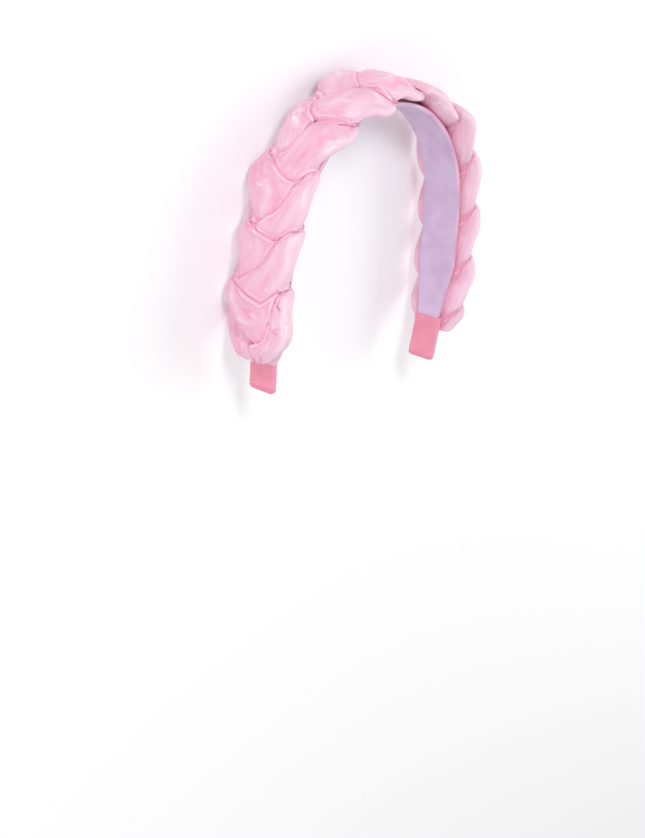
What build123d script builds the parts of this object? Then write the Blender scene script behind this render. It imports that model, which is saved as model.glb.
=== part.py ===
from build123d import *
import math
import os

# A hard hair band under a three strand braid of folded cloth, lying on its back edge.
# X runs across the band from its right leg to its left one, Y from the tips to the crown and
# Z up from the back edge to the front edge. The origin is the bottom centre of the whole thing.
# Along the band, s is the length of the seat line (the band's inner face) from the crown's middle,
# negative towards the right tip. Height h is measured outwards from that line.

# Seat line, mm and degrees: a crown arc, two flatter side arcs and two straight tips
CROWN_RADIUS = 63.0
CROWN_HALF_ANGLE = 79.0
SIDE_RADIUS = 254.0
SIDE_ANGLE = 17.0
TIP_STRAIGHT = 16.5

# Lining, hard core and the satin sleeves on its tips, mm
LINING_THICKNESS = 1.0
LINING_MARGIN = 0.4
CORE_THICKNESS = 1.3
CORE_CROWN_WIDTH = 22.0
CORE_TIP_WIDTH = 12.8
CORE_TAPER_LENGTH = 30.0
COVER_WALL = 1.0
COVER_LENGTH = 24.0
COVER_CORNER = 2.6
FIT_GAP = 0.1

# Braid, mm
BRAID_PITCH = 81.4
BRAID_SHIFT = 5.8
BRAID_THICKNESS = 11.4
STRAND_SWING = 9.0
STRAND_HALF_WIDTH = 10.5
STRAND_RISE = 2.7
STRAND_HALF_HEIGHT = 5.3
STRAND_FLATTENING = 1.6
STRAND_GAP = 1.0
LOBE_DROP = 2.0
BARE_TIP = 17.0
GATHER_LENGTH = 20.0
GATHER_HALF_WIDTH = 8.4
GATHER_THICKNESS = 4.4
GATHER_PLEAT = 0.16
RAMP_LENGTH = 8.0

# Shape of a strand's section: how square it is, how crisp its creases are, and how flat the
# strands lie over each other, as a slope's run and rise
SECTION_POWER = 2.6
CREASE_POWER = 6.0
LAP_RUN = 9.0
LAP_RISE = 6.0
LAP_SHARE = 0.3
PUSH_SOFTNESS = 0.25

# Where the hand made braid strays from an even one. s is a share of the braid's half length.
# front is how far the crossings lie towards the front edge, as a share of the swing; along is how
# far they lie along the band, as a share of the pitch; back_edge and front_edge are how far the
# two edges bulge, as shares of the half width; full is a factor on the braid's thickness.
STRAY_COLUMNS = ("s", "front", "along", "back_edge", "front_edge", "full")
STRAYS = [
    (-1.000, 0.60, -0.060, -0.12, -0.08, 1.00),
    (-0.976, 0.60, -0.060, -0.12, -0.08, 1.00),
    (-0.937, 0.72, -0.062, 0.06, 0.11, 1.00),
    (-0.798, 0.70, 0.062, 0.20, -0.03, 1.00),
    (-0.756, -0.85, -0.044, 0.00, 0.08, 1.00),
    (-0.637, 0.27, 0.062, 0.17, -0.06, 1.00),
    (-0.591, -0.28, -0.050, 0.09, 0.18, 1.00),
    (-0.484, 0.46, 0.037, 0.18, -0.12, 1.00),
    (-0.403, -0.35, -0.021, 0.20, -0.05, 1.00),
    (-0.302, -0.50, 0.062, -0.08, 0.18, 1.00),
    (-0.210, 0.00, 0.000, 0.00, 0.00, 1.00),
    (-0.105, 0.00, 0.000, 0.00, 0.00, 1.12),
    (0.000, 0.00, 0.000, 0.00, 0.00, 0.94),
    (0.105, 0.00, 0.000, 0.00, 0.00, 0.88),
    (0.210, 0.00, 0.000, 0.00, 0.00, 0.88),
    (0.370, 0.00, 0.000, 0.00, 0.00, 1.00),
    (1.000, 0.00, 0.000, 0.00, 0.00, 1.00),
]

# The main folds pressed into the strands. strand is which one, s a share of the braid's half
# length, angle where round the strand in degrees (90 is outwards, 0 the front edge), depth a share
# of the strand's size there, length a share of the pitch and spread in degrees.
FOLD_COLUMNS = ("strand", "s", "angle", "depth", "length", "spread")
FOLDS = [
    (0, -0.340, 60, 0.14, 0.09, 45),
    (2, -0.815, 120, 0.16, 0.10, 40),
    (2, -0.525, 123, 0.14, 0.08, 45),
    (1, -0.706, 123, 0.14, 0.08, 40),
    (2, -0.297, 57, 0.12, 0.07, 45),
    (1, -0.470, 111, 0.12, 0.08, 40),
    (0, -0.895, 90, 0.14, 0.07, 50),
    (2, -0.150, 75, 0.12, 0.10, 40),
    (1, 0.326, 70, 0.14, 0.10, 45),
    (0, 0.480, 110, 0.14, 0.09, 45),
    (2, 0.620, 70, 0.14, 0.09, 45),
    (1, 0.790, 110, 0.14, 0.08, 45),
]

STRANDS = 3
SECTION_SIDES = 12
GATHER_STATIONS = 9
MIDDLE_STATIONS = 130
STATION_TRIALS = 1200


def smooth(share):
    """0 to 1 with soft ends."""
    t = min(max(share, 0.0), 1.0)
    return t * t * (3 - 2 * t)


# Seat line

CROWN_END = CROWN_RADIUS * math.radians(CROWN_HALF_ANGLE)
SIDE_END = CROWN_END + SIDE_RADIUS * math.radians(SIDE_ANGLE)
BAND_END = SIDE_END + TIP_STRAIGHT


def seat_point(s, h):
    """The point at length s along the seat line and height h outwards from it."""
    way = abs(s)
    lean = math.radians(CROWN_HALF_ANGLE)
    angle = min(way, CROWN_END) / CROWN_RADIUS
    x = CROWN_RADIUS * math.sin(angle)
    y = CROWN_RADIUS * math.cos(angle)
    if way > CROWN_END:
        angle = lean + (min(way, SIDE_END) - CROWN_END) / SIDE_RADIUS
        x = (CROWN_RADIUS - SIDE_RADIUS) * math.sin(lean) + SIDE_RADIUS * math.sin(angle)
        y = (CROWN_RADIUS - SIDE_RADIUS) * math.cos(lean) + SIDE_RADIUS * math.cos(angle)
    if way > SIDE_END:
        x += (way - SIDE_END) * math.cos(angle)
        y -= (way - SIDE_END) * math.sin(angle)
    side = 1 if s >= 0 else -1
    return side * (x + h * math.sin(angle)), y + h * math.cos(angle)


def seat_edges(h, start, end):
    """The edges of the line at height h, from s = start to s = end."""
    breaks = [-BAND_END, -SIDE_END, -CROWN_END, CROWN_END, SIDE_END, BAND_END]
    edges = []
    for number in range(len(breaks) - 1):
        low = max(start, breaks[number])
        high = min(end, breaks[number + 1])
        if high - low < 1e-6:
            continue
        ends = (seat_point(low, h), seat_point(high, h))
        if number in (0, 4):
            edges.append(Edge.make_line(ends[0], ends[1]))
        else:
            middle = seat_point((low + high) / 2, h)
            edges.append(Edge.make_three_point_arc(ends[0], middle, ends[1]))
    return edges


def band_slab(h_low, h_high, start, end, width):
    """A bar of the band, from h_low to h_high and as wide as width, along part of its length."""
    inner = seat_edges(h_low, start, end)
    outer = seat_edges(h_high, start, end)
    closing = [
        Edge.make_line(seat_point(start, h_low), seat_point(start, h_high)),
        Edge.make_line(seat_point(end, h_low), seat_point(end, h_high)),
    ]
    face = Face(Wire(inner + closing + outer))
    return Pos(0, 0, -width / 2) * extrude(face, amount=width, dir=(0, 0, 1))


def end_corners(bar, s, h_low, h_high, width):
    """The short edges at a bar's two end corners."""
    x, y = seat_point(s, (h_low + h_high) / 2)
    corners = []
    for edge in bar.edges():
        middle = edge.center()
        away = math.dist((middle.X, middle.Y, abs(middle.Z)), (x, y, width / 2))
        if away < 1e-4:
            corners.append(edge)
    return corners


def leg_prism(crown_width, tip_width):
    """A prism across both legs that narrows them from the crown's width to the tips'."""
    narrow_y = seat_point(BAND_END - COVER_LENGTH, 0)[1]
    wide_y = narrow_y + CORE_TAPER_LENGTH
    top_y = CROWN_RADIUS * 2
    low_y = seat_point(BAND_END, 0)[1] - CROWN_RADIUS
    span = CROWN_RADIUS * 2
    outline = [
        (-span, low_y, tip_width / 2),
        (-span, narrow_y, tip_width / 2),
        (-span, wide_y, crown_width / 2),
        (-span, top_y, crown_width / 2),
        (-span, top_y, -crown_width / 2),
        (-span, wide_y, -crown_width / 2),
        (-span, narrow_y, -tip_width / 2),
        (-span, low_y, -tip_width / 2),
    ]
    return extrude(Face(Wire.make_polygon(outline)), amount=2 * span, dir=(1, 0, 0))


# Levels above the seat line
CORE_LOW = LINING_THICKNESS + FIT_GAP
CORE_TOP = CORE_LOW + CORE_THICKNESS
COVER_LOW = CORE_LOW - FIT_GAP - COVER_WALL
COVER_TOP = CORE_TOP + FIT_GAP + COVER_WALL
POCKET_WIDTH = CORE_TIP_WIDTH + 2 * FIT_GAP
COVER_WIDTH = POCKET_WIDTH + 2 * COVER_WALL
CORE_END = BAND_END - COVER_WALL - FIT_GAP
COVER_START = BAND_END - COVER_LENGTH


def band_core():
    """The stiff arch that carries everything, narrower towards its rounded tips."""
    bar = band_slab(CORE_LOW, CORE_TOP, -CORE_END, CORE_END, CORE_CROWN_WIDTH)
    bar = (bar & leg_prism(CORE_CROWN_WIDTH, CORE_TIP_WIDTH)).solids()[0]
    corners = end_corners(bar, CORE_END, CORE_LOW, CORE_TOP, CORE_TIP_WIDTH)
    corners += end_corners(bar, -CORE_END, CORE_LOW, CORE_TOP, CORE_TIP_WIDTH)
    return fillet(corners, COVER_CORNER - COVER_WALL - FIT_GAP)


def inner_lining():
    """The cloth under the arch, which ends where the satin sleeves begin."""
    low = CORE_LOW - FIT_GAP - LINING_THICKNESS
    end = COVER_START - FIT_GAP
    widths = (CORE_CROWN_WIDTH - 2 * LINING_MARGIN, CORE_TIP_WIDTH - 2 * LINING_MARGIN)
    bar = band_slab(low, low + LINING_THICKNESS, -end, end, widths[0])
    return (bar & leg_prism(*widths)).solids()[0]


def tip_cover(side):
    """A satin sleeve with a closed, rounded end over one tip of the core."""
    far = BAND_END * side
    start, end = sorted((COVER_START * side, far))
    body = band_slab(COVER_LOW, COVER_TOP, start, end, COVER_WIDTH)
    body = fillet(end_corners(body, far, COVER_LOW, COVER_TOP, COVER_WIDTH), COVER_CORNER)
    far = (BAND_END - COVER_WALL) * side
    mouth = (COVER_START - COVER_WALL) * side
    start, end = sorted((mouth, far))
    levels = (COVER_LOW + COVER_WALL, COVER_TOP - COVER_WALL)
    pocket = band_slab(*levels, start, end, POCKET_WIDTH)
    pocket = fillet(end_corners(pocket, far, *levels, POCKET_WIDTH), COVER_CORNER - COVER_WALL)
    return (body - pocket).solids()[0]


# Braid: where each strand's middle runs, and how wide and thick it is there

BRAID_END = BAND_END - BARE_TIP
BRAID_HALF_WIDTH = STRAND_SWING + STRAND_HALF_WIDTH


def end_swell(s):
    """How full the braid is at s: 0 where it is gathered on a tip, 1 along most of the band."""
    share = min(max((BRAID_END - abs(s)) / GATHER_LENGTH, 0.0), 1.0)
    return math.sqrt(1 - (1 - share) ** 2)


def floor_height(s):
    """The level that the strands lie on: the core, and near the tips the satin sleeves."""
    ramp = smooth((abs(s) - COVER_START + RAMP_LENGTH) / RAMP_LENGTH)
    return CORE_TOP + (COVER_TOP - CORE_TOP) * ramp + STRAND_GAP / 2


def core_half_width(s):
    """Half of the core's width at s."""
    narrow_y = seat_point(BAND_END - COVER_LENGTH, 0)[1]
    share = (seat_point(s, 0)[1] - narrow_y) / CORE_TAPER_LENGTH
    width = CORE_TIP_WIDTH + (CORE_CROWN_WIDTH - CORE_TIP_WIDTH) * min(max(share, 0.0), 1.0)
    return max(width, COVER_WIDTH) / 2


def stray(s, column):
    """How far the braid strays at s, between the rows of the table."""
    place = s / BRAID_END
    at = STRAY_COLUMNS.index(column)
    for row, following in zip(STRAYS, STRAYS[1:]):
        if place <= following[0]:
            break
    share = smooth((place - row[0]) / (following[0] - row[0]))
    return row[at] + (following[at] - row[at]) * share


def fold_share(number, s, angle):
    """How much of a strand's size is left where its folds press in."""
    left = 1.0
    for row in FOLDS:
        fold = dict(zip(FOLD_COLUMNS, row))
        if fold["strand"] != number:
            continue
        along = (s - fold["s"] * BRAID_END) / (fold["length"] * BRAID_PITCH)
        across = ((angle - fold["angle"] + 180) % 360 - 180) / fold["spread"]
        left *= 1 - fold["depth"] * smooth(1 - abs(along)) * smooth(1 - abs(across))
    return left


def phase(s):
    """How many turns of the braid lie between the crown and s."""
    return (s - BRAID_SHIFT) / BRAID_PITCH - stray(s, "along")


def pushed(s, z, width_share):
    """Where a point across the braid ends up once the crossings and edges stray."""
    reach = BRAID_HALF_WIDTH * width_share
    share = z / reach
    middle = 1 - (1 + PUSH_SOFTNESS) * share ** 2 / (abs(share) + PUSH_SOFTNESS)
    edge = stray(s, "front_edge" if z > 0 else "back_edge")
    z += stray(s, "front") * STRAND_SWING * width_share * max(middle, 0)
    return z + edge * reach * share * abs(share)


def strand_state(number, s):
    """A strand's middle, half sizes and place in the lap at s, with h above the floor."""
    swell = end_swell(s)
    least_width = GATHER_HALF_WIDTH / BRAID_HALF_WIDTH
    least_height = GATHER_THICKNESS / BRAID_THICKNESS
    width_share = least_width + (1 - least_width) * swell
    height_share = (least_height + (1 - least_height) * swell) * stray(s, "full")
    turn = 2 * math.pi * (phase(s) - number / STRANDS)
    over = math.sin(2 * turn)
    slope = STRAND_SWING * 2 * math.pi / BRAID_PITCH * math.cos(turn)
    return {
        "z": STRAND_SWING * math.sin(turn) * width_share,
        "h": (BRAID_THICKNESS / 2 + STRAND_RISE * over) * height_share,
        "half_width": STRAND_HALF_WIDTH * math.hypot(1, slope) * width_share,
        "half_height": (STRAND_HALF_HEIGHT - STRAND_FLATTENING * abs(over)) * height_share,
        "over": over,
        "width_share": width_share,
        "height_share": height_share,
    }


def neighbour_limit(own, other, dz, dh):
    """How far a ray from a strand's middle may go before it meets the other strand's half."""
    across = other["z"] - own["z"]
    up = other["h"] - own["h"]
    normal_z = across / (LAP_RUN * own["width_share"]) ** 2
    normal_h = up / (LAP_RISE * own["height_share"]) ** 2
    length = math.hypot(normal_z, normal_h)
    normal_z /= length
    normal_h /= length
    facing = dz * normal_z + dh * normal_h
    if facing <= 1e-6:
        return math.inf
    share = 0.5 + LAP_SHARE / 2 * (own["over"] - other["over"])
    reach = (across * normal_z + up * normal_h) * share - STRAND_GAP / 2
    return max(reach, STRAND_GAP / 4) / facing


def floor_limit(own, s, dz, dh):
    """How far a ray may go down: to the core's top, or past its edge a little lower."""
    if dh >= -1e-6:
        return math.inf
    flat = own["h"] / -dh
    beyond = abs(own["z"] + dz * flat) - core_half_width(s) - LOBE_DROP
    drop = LOBE_DROP * own["height_share"] * smooth(beyond / LOBE_DROP)
    return (own["h"] + drop) / -dh


def strand_section(number, s):
    """The ring of points around a strand at s."""
    states = [strand_state(strand, s) for strand in range(STRANDS)]
    own = states[number]
    pleat = GATHER_PLEAT * (1 - end_swell(s))
    ring = []
    for side in range(SECTION_SIDES):
        angle = 360 * side / SECTION_SIDES
        dz = own["half_width"] * math.cos(math.radians(angle))
        dh = own["half_height"] * math.sin(math.radians(angle))
        length = math.hypot(dz, dh)
        dz /= length
        dh /= length
        squareness = abs(dz / own["half_width"]) ** SECTION_POWER
        squareness += abs(dh / own["half_height"]) ** SECTION_POWER
        limits = [squareness ** (-1 / SECTION_POWER), floor_limit(own, s, dz, dh)]
        for other in states[:number] + states[number + 1:]:
            limits.append(neighbour_limit(own, other, dz, dh))
        reach = sum(limit ** -CREASE_POWER for limit in limits) ** (-1 / CREASE_POWER)
        reach *= fold_share(number, s, angle) * (1 - pleat * (side % 2))
        z = pushed(s, own["z"] + dz * reach, own["width_share"])
        x, y = seat_point(s, floor_height(s) + own["h"] + dh * reach)
        ring.append(Vector(x, y, z))
    return ring


def strand_stations():
    """The places where sections are made, closer in the gathers and where the braid turns fast."""
    gather = []
    for step in range(GATHER_STATIONS):
        angle = math.pi / 2 * step / GATHER_STATIONS
        gather.append(BRAID_END - GATHER_LENGTH * (1 - math.cos(angle)))
    end = BRAID_END - GATHER_LENGTH
    trials = [end * (2 * step / STATION_TRIALS - 1) for step in range(STATION_TRIALS + 1)]
    travels = [0.0]
    for s, following in zip(trials, trials[1:]):
        turned = BRAID_PITCH * abs(phase(following) - phase(s))
        travels.append(travels[-1] + (following - s + turned) / 2)
    middle = []
    for step in range(MIDDLE_STATIONS):
        wanted = travels[-1] * step / (MIDDLE_STATIONS - 1)
        number = 0
        while number < STATION_TRIALS - 1 and travels[number + 1] < wanted:
            number += 1
        share = (wanted - travels[number]) / (travels[number + 1] - travels[number])
        middle.append(trials[number] + (trials[number + 1] - trials[number]) * share)
    return [-s for s in gather] + middle + gather[::-1]


def triangle(first, second, third):
    """A flat triangular face."""
    return Face(Wire.make_polygon([first, second, third]))


def faceted_solid(rings):
    """A closed solid of triangles through rings of equally many points."""
    faces = []
    sides = len(rings[0])
    for ring, following in zip(rings, rings[1:]):
        for side in range(sides):
            nearby = (side + 1) % sides
            faces.append(triangle(ring[side], ring[nearby], following[side]))
            faces.append(triangle(ring[nearby], following[nearby], following[side]))
    for ring in (rings[0], rings[-1]):
        middle = sum(ring, Vector(0, 0, 0)) / sides
        for side in range(sides):
            faces.append(triangle(ring[side], ring[(side + 1) % sides], middle))
    return Solid(Shell(faces))


def braid_strand(number):
    """One strand of the braid, from tip to tip."""
    return faceted_solid([strand_section(number, s) for s in strand_stations()])


def main():
    os.makedirs("parts", exist_ok=True)
    pieces = {
        "band_core": band_core(),
        "inner_lining": inner_lining(),
        "tip_cover_right": tip_cover(-1),
        "tip_cover_left": tip_cover(1),
    }
    for number in range(STRANDS):
        pieces[f"braid_strand_{number + 1}"] = braid_strand(number)
    box = Compound(list(pieces.values())).bounding_box()
    ground = Pos(-box.center().X, -box.center().Y, -box.min.Z)
    for name, piece in pieces.items():
        export_step(ground * piece, f"parts/{name}.step")


main()
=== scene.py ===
import bpy
import math
import numpy as np
from mathutils import Matrix, Vector


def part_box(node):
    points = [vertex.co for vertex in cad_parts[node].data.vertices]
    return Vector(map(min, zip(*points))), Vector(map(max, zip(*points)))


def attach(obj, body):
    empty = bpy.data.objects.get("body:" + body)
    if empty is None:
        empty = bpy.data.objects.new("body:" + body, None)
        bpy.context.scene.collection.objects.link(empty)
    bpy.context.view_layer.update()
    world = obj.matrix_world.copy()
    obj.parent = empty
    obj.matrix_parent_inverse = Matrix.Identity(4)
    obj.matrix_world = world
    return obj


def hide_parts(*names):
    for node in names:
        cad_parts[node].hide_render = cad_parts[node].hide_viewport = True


# A braided hair band lying on its back edge. The braid's soft strands, the satin tip covers and
# the cloth that wraps the arch are made here over the CAD frame; lengths are in mm until a mesh
# is made. s runs along the seat line (the arch's inner face) from the crown's middle, negative
# towards the right tip; h is the height outwards from that line and z runs across the band,
# towards its front edge. A place in a table is a share of the braid's half length.

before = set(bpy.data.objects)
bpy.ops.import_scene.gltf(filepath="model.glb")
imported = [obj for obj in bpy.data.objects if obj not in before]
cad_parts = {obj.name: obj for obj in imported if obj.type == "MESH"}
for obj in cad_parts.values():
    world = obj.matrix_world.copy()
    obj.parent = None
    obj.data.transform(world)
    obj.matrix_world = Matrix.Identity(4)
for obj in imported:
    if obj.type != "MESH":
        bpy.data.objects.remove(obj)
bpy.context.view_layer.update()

MM = 0.001

# Seat line, mm and degrees: a crown arc, two flatter side arcs and two straight tips
CROWN_RADIUS = 63.0
CROWN_HALF_ANGLE = math.radians(79.0)
SIDE_RADIUS = 254.0
SIDE_ANGLE = math.radians(17.0)
TIP_STRAIGHT = 16.5
CROWN_END = CROWN_RADIUS * CROWN_HALF_ANGLE
SIDE_END = CROWN_END + SIDE_RADIUS * SIDE_ANGLE
BAND_END = SIDE_END + TIP_STRAIGHT

# Arch and tip covers, mm
CORE_TOP = 2.4
CORE_CROWN_WIDTH = 22.0
CORE_TIP_WIDTH = 12.8
CORE_TAPER_LENGTH = 30.0
COVER_TOP = 3.5
COVER_WIDTH = 15.0
COVER_LENGTH = 24.0

# Braid, mm
BRAID_PITCH = 81.4
BRAID_SHIFT = 5.8
BRAID_THICKNESS = 11.4
STRANDS = 3
STRAND_SWING = 9.0
STRAND_HALF_WIDTH = 10.5
STRAND_RISE = 2.7
STRAND_HALF_HEIGHT = 5.3
STRAND_FLATTENING = 1.6
FLOOR_GAP = 0.5
LOBE_DROP = 2.0
BARE_TIP = 17.0
GATHER_LENGTH = 20.0
GATHER_HALF_WIDTH = 8.4
GATHER_THICKNESS = 4.4
RAMP_LENGTH = 8.0
END_TUCK = 2.5
END_TUCK_SHARE = 0.45
BRAID_END = BAND_END - BARE_TIP
BRAID_HALF_WIDTH = STRAND_SWING + STRAND_HALF_WIDTH

# Shape of a strand's section: how square it is, how crisp its edges are against the arch and the
# other strands and how much softer at the braid's two sides, and how the laps slope
SECTION_POWER = 2.6
CREASE_POWER = 12.0
UNDER_POWER = 12.0
OVER_POWER = 26.0
CREASE_SIDE_SOFTNESS = 0.7
LAP_SIDE_SOFTNESS = 0.75
UNDER_LAP = 2.0
OVER_LAP = 0.4
LAP_RUN = 9.0
LAP_RISE = 6.0
LAP_SHARE = 0.3
LEAD_SPAN = 1.2
LEAD_START = 0.3
LEAST_REACH = 0.05
MOST_TOUCH = 1.3
CORNER_DRAW = 0.10
CORNER_SPREAD = 0.22
UNDER_DRAW = 0.06
UNDER_SLOPE = 1.25
SIDE_SLOPE = 1.6
PUSH_SOFTNESS = 0.25

# Where the hand made braid strays from an even one: place, push to the front edge as a share of
# the swing, push along the band as a share of the pitch, bulge of the two edges as shares of the
# half width, and a factor on the thickness
STRAYS = [
    ("place", "front", "along", "back_edge", "front_edge", "full"),
    (-1, 0.6, -0.06, -0.12, -0.08, 1),
    (-0.976, 0.6, -0.06, -0.12, -0.08, 1),
    (-0.937, 0.72, -0.062, 0.06, 0.11, 1),
    (-0.798, 1.05, 0.062, 0.2, -0.03, 1),
    (-0.756, -0.85, -0.044, 0, 0.08, 1),
    (-0.637, 0.27, 0.062, 0.17, -0.06, 1),
    (-0.591, -0.28, -0.05, 0.09, 0.18, 1),
    (-0.484, 0.46, 0.037, 0.18, -0.12, 1),
    (-0.403, -0.35, -0.021, 0.2, -0.05, 1),
    (-0.302, -0.5, 0.062, -0.08, 0.18, 1),
    (-0.21, 0, 0, 0, 0, 1),
    (-0.105, 0, 0, 0, 0, 1.12),
    (0, 0, 0, 0, 0, 0.94),
    (0.105, 0, 0, 0, 0, 0.88),
    (0.21, 0, 0, 0, 0, 1.02),
    (0.3, 0, 0, 0, 0, 1.12),
    (0.42, 0, 0, 0, 0, 1),
    (1, 0, 0, 0, 0, 1),
]

# How far the leaves slide along the band, mm: place, then at the back edge, middle and front edge
SLIDES = [
    ("place", "back", "middle", "front"),
    (-1, 0, 0, 0),
    (-0.95, -1, 0, 3),
    (-0.88, -1, -1.5, 7),
    (-0.8, 0.5, -4.5, 9),
    (-0.72, 0.5, 0, 8.5),
    (-0.62, 0, 0, 8.5),
    (-0.45, -1.5, 0, 5),
    (-0.3, 0, 0, 0),
    (-0.19, 2, 3.2, 3.5),
    (-0.08, 2, 3.2, 4),
    (0.06, 0, 0, 0),
    (1, 0, 0, 0),
]

# Where the slide of an edge starts, how it grows, and how it falls off again at the very edge
SLIDE_START = 0.30
SLIDE_POWER = 1.15
SLIDE_FALL = 0.3
SLIDE_FALL_START = 0.6

# How far the crown's front lobes hang down over the band's edge: place, spread and depth in mm
HANGS = [(-0.13, 0.11, 5.5), (-0.3, 0.07, 2)]
HANG_REACH = 6.0

# Broad dents: strand, place, angle round it (90 outwards, 0 the front edge), depth as a share of
# the strand's size, length as a share of the pitch, spread in degrees
DENTS = [
    (0, -0.34, 60, 0.14, 0.09, 45),
    (2, -0.815, 120, 0.16, 0.1, 40),
    (2, -0.525, 123, 0.14, 0.08, 45),
    (1, -0.706, 123, 0.14, 0.08, 40),
    (2, -0.297, 57, 0.12, 0.07, 45),
    (1, -0.47, 111, 0.12, 0.08, 40),
    (0, -0.895, 90, 0.14, 0.07, 50),
    (2, -0.15, 75, 0.12, 0.1, 40),
    (1, 0.326, 70, 0.14, 0.1, 45),
    (0, 0.48, 110, 0.14, 0.09, 45),
    (2, 0.62, 70, 0.14, 0.09, 45),
    (1, 0.79, 110, 0.14, 0.08, 45),
]

# Where the outer edges bulge: place and spread, and how far in mm
BACK_BULGES = [
    (-0.865, 0.06, 5.2),
    (-0.62, 0.05, -1.5),
    (-0.215, 0.05, 3),
    (-0.33, 0.06, -2.5),
    (0.45, 0.35, 1.5),
]
FRONT_BULGES = [(-0.92, 0.05, 5.8), (-0.13, 0.09, 2.5), (0.26, 0.1, 4.5)]

# How the outer edges are evened: over what length, how much less on the far back edge and where
# that starts, and how far what sticks out past them is drawn in, mm
OUTLINE_REACH = 14.0
FAR_SCALLOPS = 0.8
FAR_START = 0.10
FAR_FADE = 0.15
OUTLINE_HOLD = 9.0
OUTLINE_MARGIN = 1.4

# Seams where two leaves melt together: place and spread, middle and spread across the band in mm,
# and how much
SOFT_SEAMS = [
    (-0.7, 0.045, 1, 9, 0.9),
    (-0.345, 0.035, 0, 8, 0.5),
    (0.12, 0.16, 0, 30, 0.8),
]

# Single folds that the photograph shows: strand, place and angle of each end, height (negative
# for a groove) and width in mm
SINGLE_FOLDS = [
    (2, -0.15, 52, -0.128, 96, 0.7, 0.8),
    (2, -0.56, 128, -0.49, 116, -0.8, 1.1),
    (2, -0.565, 116, -0.5, 104, 0.5, 0.7),
    (1, -0.725, 118, -0.69, 128, -0.7, 1.2),
    (2, -0.798, 106, -0.855, 123, -1, 1.5),
    (2, -0.765, 126, -0.847, 138, 0.8, 0.8),
    (2, -0.85, 138, -0.876, 106, 0.7, 0.8),
    (2, -0.3, 40, -0.294, 74, -0.7, 1.2),
    (1, -0.48, 96, -0.455, 126, -0.7, 1.2),
    (0, -0.845, 66, -0.812, 82, -1.1, 1),
    (0, -0.998, 64, -0.965, 90, -1.2, 0.9),
    (2, -0.992, 30, -0.968, 24, -1, 0.9),
    (1, -0.942, 92, -0.929, 128, 0.6, 0.8),
    (0, -0.15, 92, -0.118, 104, 0.9, 0.7),
    (2, -0.15, 76, -0.133, 56, 0.6, 0.7),
    (1, -0.16, 70, -0.13, 58, 0.5, 0.7),
    (0, -0.372, 62, -0.315, 56, -0.9, 1.1),
    (2, -0.13, 60, 0.02, 75, 0.5, 0.8),
    (2, -0.12, 45, 0, 50, -0.5, 0.8),
    (2, -0.1, 85, 0.05, 95, 0.4, 0.7),
    (1, -0.26, 96, -0.215, 60, 0.4, 0.9),
    (1, -0.96, 90, -0.915, 108, 0.7, 0.8),
    (1, -0.95, 104, -0.905, 122, -0.6, 0.9),
    (1, -0.735, 52, -0.6, 38, 0.6, 1.1),
    (0, -0.955, 50, -0.81, 40, 0.7, 1.2),
    (2, -0.56, 42, -0.47, 36, 0.5, 1),
    (0, -0.395, 46, -0.31, 34, 0.5, 1),
    (0, -0.905, 80, -0.88, 70, -0.6, 1.8),
    (2, -0.975, 70, -0.9, 110, -0.7, 1),
    (1, -0.99, 60, -0.93, 80, 0.6, 0.8),
]
FOLD_BEND = 0.8

# Where the cloth is crumpled like lace and carries a nearly white painted highlight: strand, place
# and angle of each end, and width in mm
LACE_HIGHLIGHTS = [
    (2, -0.34, 80, -0.27, 92, 2),
    (0, -0.618, 48, -0.576, 104, 1.3),
    (1, -0.503, 118, -0.47, 121, 1),
    (1, -0.506, 94, -0.5, 118, 1.1),
    (2, -0.402, 134, -0.388, 130, 1.2),
    (0, -0.93, 42, -0.78, 28, 1.4),
    (0, 0.125, 300, 0.175, 342, 1.8),
    (1, 0.2, 320, 0.255, 334, 1.8),
    (1, -0.145, 48, -0.095, 18, 2.2),
    (0, -0.4, 24, -0.3, 32, 2.2),
    (0, -0.155, 104, -0.11, 92, 1.6),
    (2, -0.876, 118, -0.858, 130, 1.2),
]
LACE_BEND = 0.3
LACE_HEIGHT = 0.35

# Mesh of a strand: rings along it, points round it, how many degrees the points crowd outwards,
# and the radius in mm that its cloth's patterns are laid on
STATIONS = 930
SIDES = 104
CROWDING = 24.0
SKIN_RADIUS = 8.0

# Folds of the strands' cloth: heights in mm, how many run round a strand, and how far each kind
# drifts and wanders, in radians
FOLD_HEIGHT = 0.75
FOLDS_ROUND = 7
FOLD_DRIFT = 3.4
FOLD_WANDER = 1.2
PLEAT_HEIGHT = 0.34
PLEATS_ROUND = 17
PLEAT_DRIFT = 5.5
PLEAT_WANDER = -2.2
CRUMPLE_HEIGHT = 0.42
GATHER_PLEAT_HEIGHT = 0.9
GATHER_PLEATS = 12
GATHER_DRIFT = 1.5
GATHER_VALLEY = 0.35
GATHER_FADE = 1.5

# Where the folds thin out (pleats on a fold, crumples away from a seam, all of them on a thin
# strand and right at a seam), how far the crumples are shifted (mm along, degrees round), how the
# underside is left smooth, and how far apart the strands lie in the colour patterns
PLEAT_THINNING = 0.6
LEAST_CRUMPLE = 0.25
LEAST_FOLDS = 0.4
CRUMPLE_SHIFTS = (2.0, 6.0)
NEAR_SEAM, NEAR_SEAM_SPAN = 0.45, 0.40
AT_SEAM, AT_SEAM_SPAN = 1.04, 0.16
UNDERSIDE_SLOPE, UNDERSIDE_START = 1.5, 0.6
SKIN_APART = 400.0

# Smooth random patterns over the cloth: seed of the first strand's, cell along the strand in mm,
# and cells round it
PATTERNS = {
    "drift": (10, 17.0, 3),
    "wander": (20, 7.0, 6),
    "patch": (30, 12.0, 5),
    "crumple": (40, 4.6, 15),
    "fine_crumple": (50, 2.4, 29),
    "broken": (60, 5.0, 7),
    "lace": (70, 1.3, 41),
}

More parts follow.
